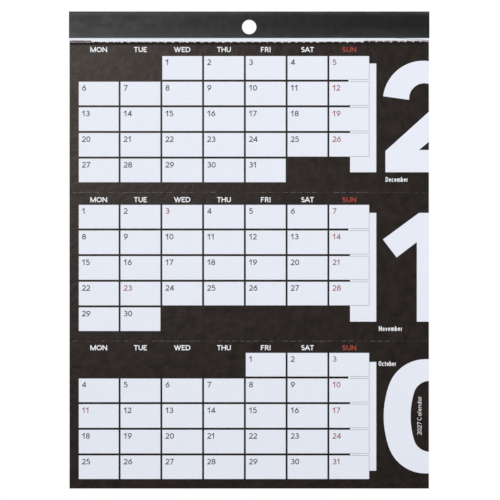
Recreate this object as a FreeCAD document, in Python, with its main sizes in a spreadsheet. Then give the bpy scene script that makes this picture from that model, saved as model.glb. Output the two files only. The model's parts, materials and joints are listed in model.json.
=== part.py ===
import FreeCAD, Part
import Sketcher
import calendar
import math
import os
from types import SimpleNamespace

# A three-month wall calendar, hung by one punched hole. Millimetres, +Z up, the printed side faces -Y.
# The origin is the centre of the hanging hole, in the middle of the stack of sheets.

# Every driving size: name, value, what it is.
SIZES = [
    ("strip_width", 210.0, "header strip, side to side"),
    ("strip_drop", 15.5, "header strip, from the fold to its lower edges"),
    ("card_thickness", 0.35, "header card, one layer"),
    ("hole_diameter", 8.4, "punched hanging hole"),
    ("hole_drop", 9.1, "centre of the hole below the fold"),
    ("leaf_inset", 0.3, "ends of the strip to the sides of the leaf and stubs"),
    ("paper_thickness", 0.16, "leaf and stubs, one sheet"),
    ("stub_band", 2.2, "from the strip's lower edge to the first perforation"),
    ("slit_length", 3.2, "one cut of the perforation"),
    ("slit_width", 0.1, "width of that cut"),
    ("slit_spacing", 4.24, "from one cut to the next"),
    ("tooth_base", 2.2, "torn tie at the edge of its stub"),
    ("tooth_tip", 0.9, "torn tie at its point"),
    ("tooth_drop", 0.55, "torn tie, how far it hangs below the perforation"),
    ("left_rise", 0.7, "front stub, how much higher it is torn at the left"),
    ("right_rise", 0.35, "front stub, how much higher it is torn at the right"),
    ("print_thickness", 0.04, "black ground on the paper"),
    ("left_margin", 5.4, "left side of the leaf to the Mondays"),
    ("right_margin", 34.78, "Sundays to the right side of the leaf"),
    ("column_gap", 1.1, "black between two columns"),
    ("cell_height", 13.74, "one day, top to bottom"),
    ("row_gap", 1.2, "black between two weeks"),
    ("december_head", 8.3, "perforation to the first week of December"),
    ("november_head", 7.3, "perforation to the first week of November"),
    ("october_head", 6.85, "perforation to the first week of October"),
    ("foot_margin", 5.9, "last week to the next perforation"),
    ("trim_margin", 5.55, "last week of October to the foot of the leaf"),
    ("december_drop", 12.6, "perforation to the top of the large 12"),
    ("november_drop", 11.95, "perforation to the top of the large 11"),
    ("october_drop", 12.1, "perforation to the top of the large 10"),
    ("numeral_height", 63.4, "large numerals, top to bottom"),
    ("stem_width", 15.3, "stem of the large first digit"),
    ("digit_gap", 3.8, "large stem to the second digit"),
    ("digit_reach", 26.84, "left side of the second digit to the side of the leaf"),
    ("bleed", 1.0, "how far the cut-off digit runs past the leaf"),
    ("serif_reach", 0.9, "start of the first digit's flag, left of its stem"),
    ("serif_drop", 14.0, "height of that start"),
    ("flag_run", 21.1, "second 1: tip of the flag to its top corner"),
    ("flag_drop", 15.5, "second 1: tip of the flag below the top"),
    ("flag_foot_run", 8.05, "second 1: tip to the flag's lower corner"),
    ("flag_foot_drop", 26.0, "second 1: lower corner below the top"),
    ("flag_joint_run", 19.8, "second 1: tip to the stem"),
    ("flag_joint_drop", 17.05, "second 1: where the flag meets the stem"),
    ("overshoot", 1.6, "how far round digits pass the flat ones"),
    ("bowl_radius", 23.6, "2: outside of the bowl"),
    ("bowl_hollow", 8.9, "2: inside of the bowl"),
    ("hollow_shift", 0.65, "2: hollow to the right of the bowl's centre"),
    ("hollow_lift", 1.55, "2: hollow above the bowl's centre"),
    ("terminal_lift", 2.9, "2: outer corner of the end above the bowl's centre"),
    ("terminal_dip", 0.75, "2: inner corner of the end below the hollow's centre"),
    ("foot_inset", 1.5, "2: left side of the foot right of the bowl's left side"),
    ("foot_height", 12.4, "2: left side of the foot"),
    ("foot_slope", 0.903, "2: rise of the diagonal's upper side for each millimetre across"),
    ("notch_run", 19.6, "2: left side of the foot to the notch"),
    ("notch_height", 13.0, "2: top of the foot at the notch"),
    ("notch_slope", 0.83, "2: rise of the diagonal's lower side for each millimetre across"),
    ("oval_inset", 0.5, "0: left side right of the other digits' left side"),
    ("oval_side_radius", 55.5, "0: outside, side"),
    ("oval_corner_radius", 22.6, "0: outside, corners"),
    ("counter_inset", 15.7, "0: thickness of the side"),
    ("counter_drop", 12.65, "0: thickness of the top and bottom"),
    ("counter_side_radius", 48.2, "0: inside, side"),
    ("counter_corner_radius", 9.5, "0: inside, corners"),
]

YEAR = "2027"
MONTHS = ("december", "november", "october")
WEEKS = 5
DAYS_IN_WEEK = len(calendar.day_name)
STUBS = ("stub_july_september", "stub_april_june", "stub_january_march")
SHEETS = len(STUBS) + 1
# Ties at each end of the front stub that tore away higher up.
LEFT_TIES = 2
RIGHT_TIES = 9


class Size:
    """A length as a number and as the same formula on the sheet's cells."""

    def __init__(self, number, formula):
        self.number = float(number)
        self.formula = formula

    def __add__(self, other):
        other = as_size(other)
        return Size(self.number + other.number, f"({self.formula} + {other.formula})")

    def __sub__(self, other):
        other = as_size(other)
        return Size(self.number - other.number, f"({self.formula} - {other.formula})")

    def __mul__(self, other):
        other = as_size(other)
        return Size(self.number * other.number, f"({self.formula} * {other.formula})")

    def __truediv__(self, other):
        other = as_size(other)
        return Size(self.number / other.number, f"({self.formula} / {other.formula})")

    def __neg__(self):
        return as_size(0) - self


def as_size(value):
    return value if isinstance(value, Size) else Size(value, str(value))


def root(size):
    return Size(math.sqrt(size.number), f"sqrt({size.formula})")


def whole(size):
    return Size(math.floor(size.number), f"floor({size.formula})")


def make_sheet(doc):
    """The spreadsheet of driving sizes, and each of them as a Size."""
    sheet = doc.addObject("Spreadsheet::Sheet", "sizes")
    for row, (name, value, note) in enumerate(SIZES, start=1):
        sheet.set(f"A{row}", name)
        sheet.set(f"B{row}", str(value))
        sheet.set(f"C{row}", note)
        sheet.setAlias(f"B{row}", name)
    return SimpleNamespace(**{name: Size(value, f"sizes.{name}") for name, value, _ in SIZES})


doc = FreeCAD.newDocument("wall_calendar")
s = make_sheet(doc)
doc.recompute()

# Levels, from the fold of the header strip down to the foot of the leaf.
STACK = s.paper_thickness * SHEETS + s.print_thickness
HALF = STACK / 2 + s.card_thickness
FOLD_CENTRE = s.hole_drop - HALF
STRIP_BOTTOM = s.hole_drop - s.strip_drop
GRID_HEIGHT = s.cell_height * WEEKS + s.row_gap * (WEEKS - 1)
FIRST_PERFORATION = STRIP_BOTTOM - s.stub_band
SECOND_PERFORATION = FIRST_PERFORATION - s.december_head - GRID_HEIGHT - s.foot_margin
THIRD_PERFORATION = SECOND_PERFORATION - s.november_head - GRID_HEIGHT - s.foot_margin
LEAF_BOTTOM = THIRD_PERFORATION - s.october_head - GRID_HEIGHT - s.trim_margin
MONTH_TOPS = dict(zip(MONTHS, (FIRST_PERFORATION, SECOND_PERFORATION, THIRD_PERFORATION)))

# Across: the strip and the leaf are centred on the hole.
LEAF_WIDTH = s.strip_width - s.leaf_inset * 2
LEAF_LEFT = -LEAF_WIDTH / 2
LEAF_RIGHT = LEAF_WIDTH / 2
GRID_LEFT = LEAF_LEFT + s.left_margin
GRID_RIGHT = LEAF_RIGHT - s.right_margin
COLUMN_STEP = (GRID_RIGHT - GRID_LEFT + s.column_gap) / DAYS_IN_WEEK
CELL_WIDTH = COLUMN_STEP - s.column_gap
ROW_STEP = s.cell_height + s.row_gap
DIGIT_LEFT = LEAF_RIGHT - s.digit_reach
STEM_RIGHT = DIGIT_LEFT - s.digit_gap
STEM_LEFT = STEM_RIGHT - s.stem_width
BLEED_RIGHT = LEAF_RIGHT + s.bleed
SLIT_COUNT = whole(LEAF_WIDTH / s.slit_spacing)
FIRST_TIE = -SLIT_COUNT * s.slit_spacing / 2
FIRST_SLIT = FIRST_TIE + (s.slit_spacing - s.slit_length) / 2

# Back planes, from the wall side of the stack towards the front.
LEAF_BACK = STACK / 2
LEAF_FRONT = LEAF_BACK - s.paper_thickness
PRINT_FRONT = LEAF_FRONT - s.print_thickness


def make_body(name, back_plane):
    body = doc.addObject("PartDesign::Body", name)
    body.Label = name
    body.setExpression("Placement.Base.y", as_size(back_plane).formula)
    return body


def make_sketch(body, name, role="XZ_Plane"):
    """A sketch on one of the body's own origin planes."""
    plane = next(feature for feature in body.Origin.OriginFeatures if feature.Role == role)
    sketch = body.newObject("Sketcher::SketchObject", f"{body.Label}_{name}")
    sketch.AttachmentSupport = (plane, [""])
    sketch.MapMode = "FlatFace"
    return sketch


def bind(sketch, rules):
    """Adds the rules at once, then names each and ties it to the sheet."""
    indexes = sketch.addConstraint([
        Sketcher.Constraint(kind, *places, as_size(size).number) for kind, places, size in rules
    ])
    for number, (index, rule) in enumerate(zip(indexes, rules)):
        name = f"{rule[0]}_{number}"
        sketch.renameConstraint(index, name)
        sketch.setExpression(f"Constraints.{name}", as_size(rule[2]).formula)


def arc_between(start, end, radius, turn):
    """The arc of that radius from start to end; turn is +1 to the left of the way, -1 to the right."""
    middle = (start + end) / 2
    chord = end - start
    reach = math.sqrt(max(radius ** 2 - (chord.Length / 2) ** 2, 0.0))
    across = FreeCAD.Vector(-chord.y, chord.x, 0).normalize()
    centre = middle + across * reach * turn
    angles = [math.atan2(point.y - centre.y, point.x - centre.x) for point in (start, end)]
    if turn < 0:
        angles.reverse()
    circle = Part.Circle(centre, FreeCAD.Vector(0, 0, 1), radius)
    return Part.ArcOfCircle(circle, *angles)


def add_edges(sketch, corners):
    """The lines and arcs of a closed outline, each with its start's and its end's place."""
    points = [FreeCAD.Vector(as_size(c[0]).number, as_size(c[1]).number, 0) for c in corners]
    edges = []
    for number, corner in enumerate(corners):
        start = points[number]
        end = points[(number + 1) % len(points)]
        if len(corner) == 2:
            edges.append((sketch.addGeometry(Part.LineSegment(start, end)), 1, 2))
            continue
        arc = corner[2]
        geometry = arc_between(start, end, as_size(arc["radius"]).number, arc["turn"])
        ends = (1, 2) if arc["turn"] > 0 else (2, 1)
        edges.append((sketch.addGeometry(geometry), *ends))
    return edges


def draw(sketch, *outlines):
    """Closed outlines through their corners, each corner bound to the sheet.

    A corner may carry the arc that leaves it: its radius, its turn (+1 left, -1 right) and, for a
    half circle, the level of its centre, which then takes the place of the radius.
    """
    joins = []
    rules = []
    for corners in outlines:
        edges = add_edges(sketch, corners)
        for number, corner in enumerate(corners):
            edge, first, last = edges[number]
            following = edges[(number + 1) % len(edges)]
            joins.append(Sketcher.Constraint("Coincident", edge, last, following[0], following[1]))
            rules.append(("DistanceX", (-1, 1, edge, first), corner[0]))
            rules.append(("DistanceY", (-1, 1, edge, first), corner[1]))
            arc = corner[2] if len(corner) > 2 else {}
            if "level" in arc:
                rules.append(("DistanceY", (-1, 1, edge, 3), arc["level"]))
            elif arc:
                rules.append(("Radius", (edge,), arc["radius"]))
    sketch.addConstraint(joins)
    bind(sketch, rules)
    return sketch


def rectangle(left, right, bottom, top):
    return [(left, bottom), (right, bottom), (right, top), (left, top)]


def pad(body, sketch, length, midplane=False):
    feature = body.newObject("PartDesign::Pad", f"{sketch.Name}_pad")
    feature.Profile = sketch
    feature.setExpression("Length", length.formula)
    feature.Midplane = midplane
    return feature


def cut(body, sketch):
    """Cuts the sketch through the whole body, both ways from its plane."""
    feature = body.newObject("PartDesign::Pocket", f"{sketch.Name}_cut")
    feature.Profile = sketch
    feature.Type = "ThroughAll"
    feature.Midplane = True
    return feature


def repeat(body, feature, count, spacing):
    """Copies a feature to the right, in line with its own sketch."""
    pattern = body.newObject("PartDesign::LinearPattern", f"{feature.Name}_row")
    pattern.Originals = [feature]
    pattern.Direction = (feature.Profile[0], ["H_Axis"])
    pattern.Mode = "Spacing"
    pattern.setExpression("Offset", spacing.formula)
    pattern.setExpression("Occurrences", as_size(count).formula)
    body.Tip = pattern
    return pattern


def punch_hole(body):
    """The hanging hole, punched through every layer at the origin."""
    sketch = make_sketch(body, "hole")
    circle = Part.Circle(FreeCAD.Vector(0, 0, 0), FreeCAD.Vector(0, 0, 1), s.hole_diameter.number / 2)
    edge = sketch.addGeometry(circle)
    sketch.addConstraint(Sketcher.Constraint("Coincident", edge, 3, -1, 1))
    bind(sketch, [("Diameter", (edge,), s.hole_diameter)])
    cut(body, sketch)


def perforate(body, name, level):
    """One line of slits across the sheet."""
    sketch = make_sketch(body, name)
    half = s.slit_width / 2
    draw(sketch, rectangle(FIRST_SLIT, FIRST_SLIT + s.slit_length, level - half, level + half))
    repeat(body, cut(body, sketch), SLIT_COUNT, s.slit_spacing)


def header_strip():
    """Card folded over the top edge of the sheets."""
    body = make_body("header_strip", 0)
    sketch = make_sketch(body, "section", "YZ_Plane")
    inner = STACK / 2
    over = {"radius": HALF, "turn": -1, "level": FOLD_CENTRE}
    under = {"radius": inner, "turn": 1, "level": FOLD_CENTRE}
    draw(sketch, [
        (-HALF, STRIP_BOTTOM), (-HALF, FOLD_CENTRE, over), (HALF, FOLD_CENTRE), (HALF, STRIP_BOTTOM),
        (inner, STRIP_BOTTOM), (inner, FOLD_CENTRE, under), (-inner, FOLD_CENTRE), (-inner, STRIP_BOTTOM),
    ])
    pad(body, sketch, s.strip_width, midplane=True)
    punch_hole(body)
    return body


def torn_ties(body, name, first, last, level):
    """The little tongues of paper left where the ties between the slits tore."""
    middle = FIRST_TIE + s.slit_spacing * first
    sketch = make_sketch(body, name)
    draw(sketch, [
        (middle - s.tooth_base / 2, level), (middle - s.tooth_tip / 2, level - s.tooth_drop),
        (middle + s.tooth_tip / 2, level - s.tooth_drop), (middle + s.tooth_base / 2, level),
    ])
    repeat(body, pad(body, sketch, s.paper_thickness), as_size(last) - first + 1, s.slit_spacing)


def stub(name, back_plane):
    """What is left of a leaf after it was torn off along its first perforation."""
    body = make_body(name, back_plane)
    sketch = make_sketch(body, "sheet")
    draw(sketch, rectangle(LEAF_LEFT, LEAF_RIGHT, FIRST_PERFORATION, FOLD_CENTRE))
    pad(body, sketch, s.paper_thickness)
    torn_ties(body, "ties", 1, SLIT_COUNT - 1, FIRST_PERFORATION)
    punch_hole(body)
    return body


def front_stub(name, back_plane):
    """The stub in front, torn higher at both ends."""
    body = make_body(name, back_plane)
    left_level = FIRST_PERFORATION + s.left_rise
    right_level = FIRST_PERFORATION + s.right_rise
    left_end = FIRST_TIE + s.slit_spacing * LEFT_TIES - s.tooth_base / 2
    right_end = FIRST_TIE + (SLIT_COUNT - RIGHT_TIES) * s.slit_spacing + s.tooth_base / 2
    sketch = make_sketch(body, "sheet")
    draw(sketch, [
        (LEAF_LEFT, FOLD_CENTRE), (LEAF_LEFT, left_level), (left_end - s.left_rise, left_level),
        (left_end, FIRST_PERFORATION), (right_end, FIRST_PERFORATION),
        (right_end + s.right_rise, right_level), (LEAF_RIGHT, right_level), (LEAF_RIGHT, FOLD_CENTRE),
    ])
    pad(body, sketch, s.paper_thickness)
    torn_ties(body, "ties", LEFT_TIES, SLIT_COUNT - RIGHT_TIES, FIRST_PERFORATION)
    torn_ties(body, "high_ties", SLIT_COUNT - RIGHT_TIES + 1, SLIT_COUNT - 1, right_level)
    punch_hole(body)
    return body


def leaf():
    """The last leaf of the year: three months, one above the other, each to be torn off in turn."""
    body = make_body("october_december_leaf", LEAF_BACK)
    sketch = make_sketch(body, "sheet")
    draw(sketch, rectangle(LEAF_LEFT, LEAF_RIGHT, LEAF_BOTTOM, FOLD_CENTRE))
    pad(body, sketch, s.paper_thickness)
    for month, level in MONTH_TOPS.items():
        perforate(body, f"{month}_perforation", level)
    punch_hole(body)
    return body


def make_box(name, left, right, bottom, top, front, back):
    """A box between six planes of the frame."""
    box = doc.addObject("Part::Box", name)
    edges = {"Length": right - left, "Width": back - front, "Height": top - bottom}
    corner = {"x": left, "y": front, "z": bottom}
    for edge, size in edges.items():
        box.setExpression(edge, size.formula)
    for axis, size in corner.items():
        box.setExpression(f"Placement.Base.{axis}", size.formula)
    return box


def window(name, left, right, bottom, top):
    """A box through the print and a little past it on both sides."""
    front = PRINT_FRONT - s.print_thickness
    back = LEAF_FRONT + s.print_thickness
    return make_box(name, left, right, bottom, top, front, back)


def day_windows(month):
    """Bare paper for each day of the month, with Mondays at the left."""
    top = MONTH_TOPS[month] - getattr(s, f"{month}_head")
    number = list(calendar.month_name).index(month.title())
    first_column, days = calendar.monthrange(int(YEAR), number)
    windows = []
    for day in range(days):
        week, column = divmod(first_column + day, DAYS_IN_WEEK)
        left = GRID_LEFT + COLUMN_STEP * column
        cell_top = top - ROW_STEP * week
        cell_bottom = cell_top - s.cell_height
        windows.append(window(f"{month}_day{day + 1}", left, left + CELL_WIDTH, cell_bottom, cell_top))
    return windows


def slit_windows(month):
    """The slits of the perforation above a month, where they go through the print."""
    bottom = MONTH_TOPS[month] - s.slit_width / 2
    windows = []
    for number in range(int(SLIT_COUNT.number)):
        left = FIRST_SLIT + s.slit_spacing * number
        name = f"{month}_slit{number + 1}"
        windows.append(window(name, left, left + s.slit_length, bottom, bottom + s.slit_width))
    return windows


def first_digit(top, bottom):
    """The stem of the large 1 behind the Sundays, with the start of its flag."""
    flag_bottom = top - s.serif_drop
    return [
        (STEM_LEFT, bottom), (STEM_RIGHT, bottom), (STEM_RIGHT, top), (STEM_LEFT - s.serif_reach, top),
        (STEM_LEFT - s.serif_reach, flag_bottom), (STEM_LEFT, flag_bottom - s.serif_reach),
    ]


def december_digit(top, bottom):
    """The left part of a large 2, cut off by the edge of the leaf: its bowl and its foot."""
    centre = DIGIT_LEFT + s.bowl_radius
    level = top + s.overshoot - s.bowl_radius
    hollow = centre + s.hollow_shift
    hollow_level = level + s.hollow_lift
    bowl = s.bowl_radius * s.bowl_radius
    ring = s.bowl_hollow * s.bowl_hollow
    past = BLEED_RIGHT - centre
    hollow_past = BLEED_RIGHT - hollow
    outside = {"radius": s.bowl_radius, "turn": 1}
    inside = {"radius": s.bowl_hollow, "turn": -1}
    bowl_outline = [
        (BLEED_RIGHT, level + root(bowl - past * past), outside),
        (centre - root(bowl - s.terminal_lift * s.terminal_lift), level + s.terminal_lift),
        (hollow - root(ring - s.terminal_dip * s.terminal_dip), hollow_level - s.terminal_dip, inside),
        (BLEED_RIGHT, hollow_level + root(ring - hollow_past * hollow_past)),
    ]
    foot = DIGIT_LEFT + s.foot_inset
    foot_top = bottom + s.foot_height
    notch = foot + s.notch_run
    notch_level = bottom + s.notch_height
    foot_outline = [
        (foot, bottom), (BLEED_RIGHT, bottom), (BLEED_RIGHT, notch_level), (notch, notch_level),
        (BLEED_RIGHT, notch_level + (BLEED_RIGHT - notch) * s.notch_slope),
        (BLEED_RIGHT, foot_top + (BLEED_RIGHT - foot) * s.foot_slope), (foot, foot_top),
    ]
    return bowl_outline, foot_outline


def november_digit(top, bottom):
    """The left part of a large 1 with its flag, cut off by the edge of the leaf."""
    return ([
        (BLEED_RIGHT, top), (DIGIT_LEFT + s.flag_run, top), (DIGIT_LEFT, top - s.flag_drop),
        (DIGIT_LEFT + s.flag_foot_run, top - s.flag_foot_drop),
        (DIGIT_LEFT + s.flag_joint_run, top - s.flag_joint_drop),
        (DIGIT_LEFT + s.flag_joint_run, bottom), (BLEED_RIGHT, bottom),
    ],)


def oval_points(left, half_height, side_radius, corner_radius):
    """Where a round digit's flat top ends, and where its corner runs into its side.

    The corner's circle touches the side's circle from inside, so their centres lie
    side_radius - corner_radius apart, on one line with the point where they touch.
    """
    between = side_radius - corner_radius
    rise = half_height - corner_radius
    run = root(between * between - rise * rise)
    corner_across = left + side_radius - run
    touch_across = left + side_radius - run * side_radius / between
    touch_up = rise * side_radius / between
    return corner_across, touch_across, touch_up


def october_digit(top, bottom):
    """The left part of a large 0, cut off by the edge of the leaf."""
    middle = (top + bottom) / 2
    outer_half = (top - bottom) / 2 + s.overshoot
    inner_half = outer_half - s.counter_drop
    outer_left = DIGIT_LEFT + s.oval_inset
    counter_left = outer_left + s.counter_inset
    flat, touch, rise = oval_points(outer_left, outer_half, s.oval_side_radius, s.oval_corner_radius)
    outer_corner = {"radius": s.oval_corner_radius, "turn": 1}
    outer_side = {"radius": s.oval_side_radius, "turn": 1}
    inner_corner = {"radius": s.counter_corner_radius, "turn": -1}
    inner_side = {"radius": s.counter_side_radius, "turn": -1}
    outside = [
        (BLEED_RIGHT, middle + outer_half), (flat, middle + outer_half, outer_corner),
        (touch, middle + rise, outer_side), (touch, middle - rise, outer_corner),
        (flat, middle - outer_half), (BLEED_RIGHT, middle - outer_half),
    ]
    flat, touch, rise = oval_points(counter_left, inner_half, s.counter_side_radius, s.counter_corner_radius)
    inside = [
        (BLEED_RIGHT, middle - inner_half), (flat, middle - inner_half, inner_corner),
        (touch, middle - rise, inner_side), (touch, middle + rise, inner_corner),
        (flat, middle + inner_half), (BLEED_RIGHT, middle + inner_half),
    ]
    return (outside + inside,)


def numeral_windows(month):
    """Bare paper for the large numeral of a month, as one extruded sketch."""
    top = MONTH_TOPS[month] - getattr(s, f"{month}_drop")
    bottom = top - s.numeral_height
    second_digits = {"december": december_digit, "november": november_digit, "october": october_digit}
    sketch = doc.addObject("Sketcher::SketchObject", f"{month}_numeral")
    sketch.Placement.Rotation = FreeCAD.Rotation(FreeCAD.Vector(1, 0, 0), 90)
    sketch.setExpression("Placement.Base.y", (LEAF_FRONT - s.print_thickness / 2).formula)
    draw(sketch, first_digit(top, bottom), *second_digits[month](top, bottom))
    extrusion = doc.addObject("Part::Extrusion", f"{month}_numeral_window")
    extrusion.Base = sketch
    extrusion.DirMode = "Normal"
    extrusion.Solid = True
    extrusion.Symmetric = True
    extrusion.setExpression("LengthFwd", (s.print_thickness * 3).formula)
    return extrusion


def take_away(base, name, windows):
    """The base without the windows."""
    group = doc.addObject("Part::Compound", f"{name}_windows")
    group.Links = windows
    result = doc.addObject("Part::Cut", name)
    result.Base = base
    result.Tool = group
    return result


def ground_print():
    """The black ground on the leaf's front, with bare paper for the days and the large numerals."""
    top = FIRST_PERFORATION - s.slit_width / 2
    ground = make_box("ground", LEAF_LEFT, LEAF_RIGHT, LEAF_BOTTOM, top, PRINT_FRONT, LEAF_FRONT)
    slits = slit_windows("november") + slit_windows("october")
    days = [day for month in MONTHS for day in day_windows(month)]
    numerals = [numeral_windows(month) for month in MONTHS]
    ground = take_away(ground, "perforated_ground", slits)
    ground = take_away(ground, "numbered_ground", numerals)
    ground = take_away(ground, "ground_print", days)
    return ground


def build():
    """The header strip, the leaf and its print, then the stubs from the leaf towards the front."""
    bodies = [header_strip(), leaf(), ground_print()]
    plane = PRINT_FRONT
    for name in STUBS:
        make = front_stub if name == STUBS[-1] else stub
        bodies.append(make(name, plane))
        plane = plane - s.paper_thickness
    doc.recompute()
    return bodies


def check(bodies):
    """Stops on a failed object, an empty or invalid shape, or a cut that took nothing away."""
    for item in doc.Objects:
        if {"Invalid", "Error"} & set(item.State):
            raise RuntimeError(f"{item.Label} failed: {item.State}")
        if item.TypeId == "Sketcher::SketchObject" and not item.FullyConstrained:
            raise RuntimeError(f"{item.Label} is not fully constrained")
        if item.TypeId == "PartDesign::Pocket" and item.Shape.Volume >= item.BaseFeature.Shape.Volume:
            raise RuntimeError(f"{item.Label} cuts nothing")
    for body in bodies:
        if body.Shape.isNull() or not body.Shape.isValid() or not body.Shape.Solids:
            raise RuntimeError(f"{body.Label} is not a valid solid")


def write(bodies):
    os.makedirs("parts", exist_ok=True)
    for body in bodies:
        body.Shape.exportStep(f"parts/{body.Label}.step")
        box = body.Shape.BoundBox
        size = f"{box.XLength:.2f} x {box.YLength:.2f} x {box.ZLength:.2f}"
        print(f"{body.Label}: {size} mm, {body.Shape.Volume:.1f} mm3, {len(body.Shape.Faces)} faces")


pieces = build()
check(pieces)
write(pieces)
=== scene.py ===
import calendar
import json

import bmesh
import bpy
import numpy as np
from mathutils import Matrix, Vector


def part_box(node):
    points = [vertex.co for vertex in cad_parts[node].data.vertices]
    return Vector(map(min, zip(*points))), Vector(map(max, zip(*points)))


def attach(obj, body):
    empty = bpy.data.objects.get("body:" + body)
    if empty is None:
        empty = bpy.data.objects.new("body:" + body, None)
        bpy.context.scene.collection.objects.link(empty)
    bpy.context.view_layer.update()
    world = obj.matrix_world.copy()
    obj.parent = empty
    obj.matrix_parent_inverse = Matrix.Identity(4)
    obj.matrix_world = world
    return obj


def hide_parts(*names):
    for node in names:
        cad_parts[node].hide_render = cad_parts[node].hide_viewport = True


# A three-month tear-off calendar hung by one hole. Metres; +Z is up and the printed side faces -Y.

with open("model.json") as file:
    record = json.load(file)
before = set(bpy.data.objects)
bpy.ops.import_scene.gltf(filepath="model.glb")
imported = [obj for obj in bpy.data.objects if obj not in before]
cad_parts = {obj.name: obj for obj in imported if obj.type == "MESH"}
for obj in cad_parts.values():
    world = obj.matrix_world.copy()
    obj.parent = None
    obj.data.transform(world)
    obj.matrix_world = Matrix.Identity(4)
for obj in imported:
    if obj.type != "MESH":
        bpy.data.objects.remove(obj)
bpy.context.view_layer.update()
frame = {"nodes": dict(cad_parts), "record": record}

MM = 0.001
YEAR = 2027
DAYS_IN_WEEK = 7
WEEKS = 5
MONTHS = {"december": 12, "november": 11, "october": 10}

STRIP_LOW, STRIP_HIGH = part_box("header_strip")
LEAF_LOW, LEAF_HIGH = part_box("october_december_leaf")
GROUND_LOW, GROUND_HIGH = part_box("ground_print")

# The grid of days, as the part's source spaces it.
LEFT_MARGIN = 5.4 * MM
RIGHT_MARGIN = 34.78 * MM
COLUMN_GAP = 1.1 * MM
CELL_HEIGHT = 13.74 * MM
ROW_GAP = 1.2 * MM
FOOT_MARGIN = 5.9 * MM
HEADS = {"december": 8.3 * MM, "november": 7.3 * MM, "october": 6.85 * MM}
GRID_LEFT = LEAF_LOW.x + LEFT_MARGIN
COLUMN_STEP = (LEAF_HIGH.x - RIGHT_MARGIN - GRID_LEFT + COLUMN_GAP) / DAYS_IN_WEEK
CELL_WIDTH = COLUMN_STEP - COLUMN_GAP
ROW_STEP = CELL_HEIGHT + ROW_GAP
GRID_HEIGHT = ROW_STEP * WEEKS - ROW_GAP

# Perforations: where each month's strip begins.
SLIT_LENGTH = 3.2 * MM
SLIT_WIDTH = 0.1 * MM
SLIT_SPACING = 4.24 * MM
SLIT_COUNT = int((LEAF_HIGH.x - LEAF_LOW.x) // SLIT_SPACING)
FIRST_TIE = -SLIT_COUNT * SLIT_SPACING / 2
FIRST_PERFORATION = GROUND_HIGH.z + SLIT_WIDTH / 2
SECOND_PERFORATION = FIRST_PERFORATION - HEADS["december"] - GRID_HEIGHT - FOOT_MARGIN
THIRD_PERFORATION = SECOND_PERFORATION - HEADS["november"] - GRID_HEIGHT - FOOT_MARGIN
MONTH_TOPS = dict(zip(MONTHS, (FIRST_PERFORATION, SECOND_PERFORATION, THIRD_PERFORATION)))

# The large numerals.
NUMERAL_DROPS = {"december": 12.6 * MM, "november": 11.95 * MM, "october": 12.1 * MM}
NUMERAL_HEIGHT = 63.4 * MM
STEM_RIGHT = LEAF_HIGH.x - 30.64 * MM
STEM_LEFT = STEM_RIGHT - 15.3 * MM

# Print stands this far off what carries it, and starts this far inside it.
INK = 0.03 * MM
BITE = 0.005 * MM
PAPER_FACE = LEAF_LOW.y
GROUND_FACE = GROUND_LOW.y


# ---------------------------------------------------------------- meshes


def grid_faces(rows, columns, round_rows=False, round_columns=False):
    """Quads between neighbours of a grid of points, joined round where it closes on itself."""
    row = np.arange(rows if round_rows else rows - 1)[:, None]
    column = np.arange(columns if round_columns else columns - 1)[None, :]
    next_row = (row + 1) % rows
    next_column = (column + 1) % columns
    corners = [row * columns + column, row * columns + next_column,
               next_row * columns + next_column, next_row * columns + column]
    return np.stack(np.broadcast_arrays(*corners), axis=-1).reshape(-1, 4)


def tube_faces(rings, sides):
    """Quads of a tube of rings with sides points each, capped at both ends.

    A cap joins each pair of neighbours in one half of its ring to the pair across from them.
    """
    first = np.arange(sides // 2 - 1)
    cap = np.column_stack((first, first + 1, sides - 2 - first, sides - 1 - first))
    ends = np.concatenate((cap[:, ::-1], cap + (rings - 1) * sides))
    return np.concatenate((grid_faces(rings, sides, round_columns=True), ends))


def outward(points, faces):
    """Turns the faces round where the volume they enclose comes out negative."""
    a, b, c, d = (points[faces[:, corner]] for corner in range(4))
    volume = np.einsum("ij,ij->i", a, np.cross(b, c) + np.cross(c, d)).sum()
    return faces[:, ::-1] if volume < 0 else faces


def place_piece(name, mesh, material, replaces=()):
    """An object for a finished mesh, riding on the calendar's one body."""
    mesh.materials.append(material)
    piece = bpy.data.objects.new(name, mesh)
    bpy.context.scene.collection.objects.link(piece)
    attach(piece, "root")
    for node in replaces:
        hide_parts(node)
    return piece


def add_piece(name, shells, material, replaces=()):
    """One mesh from closed shells, each a pair of points and quads."""
    points, faces, start = [], [], 0
    for shell_points, shell_faces in shells:
        points.append(shell_points)
        faces.append(outward(shell_points, shell_faces) + start)
        start += len(shell_points)
    mesh = bpy.data.meshes.new(name)
    mesh.from_pydata(np.concatenate(points).tolist(), [], np.concatenate(faces).tolist())
    mesh.validate()
    return place_piece(name, mesh, material, replaces)


def bars(spans, front, back):
    """Boxes between the planes front and back; each span is left, right, bottom, top."""
    left, right, bottom, top = np.array(spans, float).T
    corners = [(left, bottom), (right, bottom), (right, top), (left, top)]
    flat = np.stack([np.stack(corner, axis=-1) for corner in corners], axis=1)
    shells = []
    for outline in flat:
        ring = np.column_stack((outline[:, 0], np.full(4, front), outline[:, 1]))
        behind = ring + np.array([0, back - front, 0])
        shells.append((np.concatenate((ring, behind)), tube_faces(2, 4)))
    return shells


# ---------------------------------------------------------------- lettering

ARC_STEP = 15
SAME_POINT = 1e-4
STEEP = 0.3
SHARPEST_TURN = 0.6
# A character's later strokes stand a little prouder, so that no two fronts share a plane where they cross.
STROKE_RISE = 0.04
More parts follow.
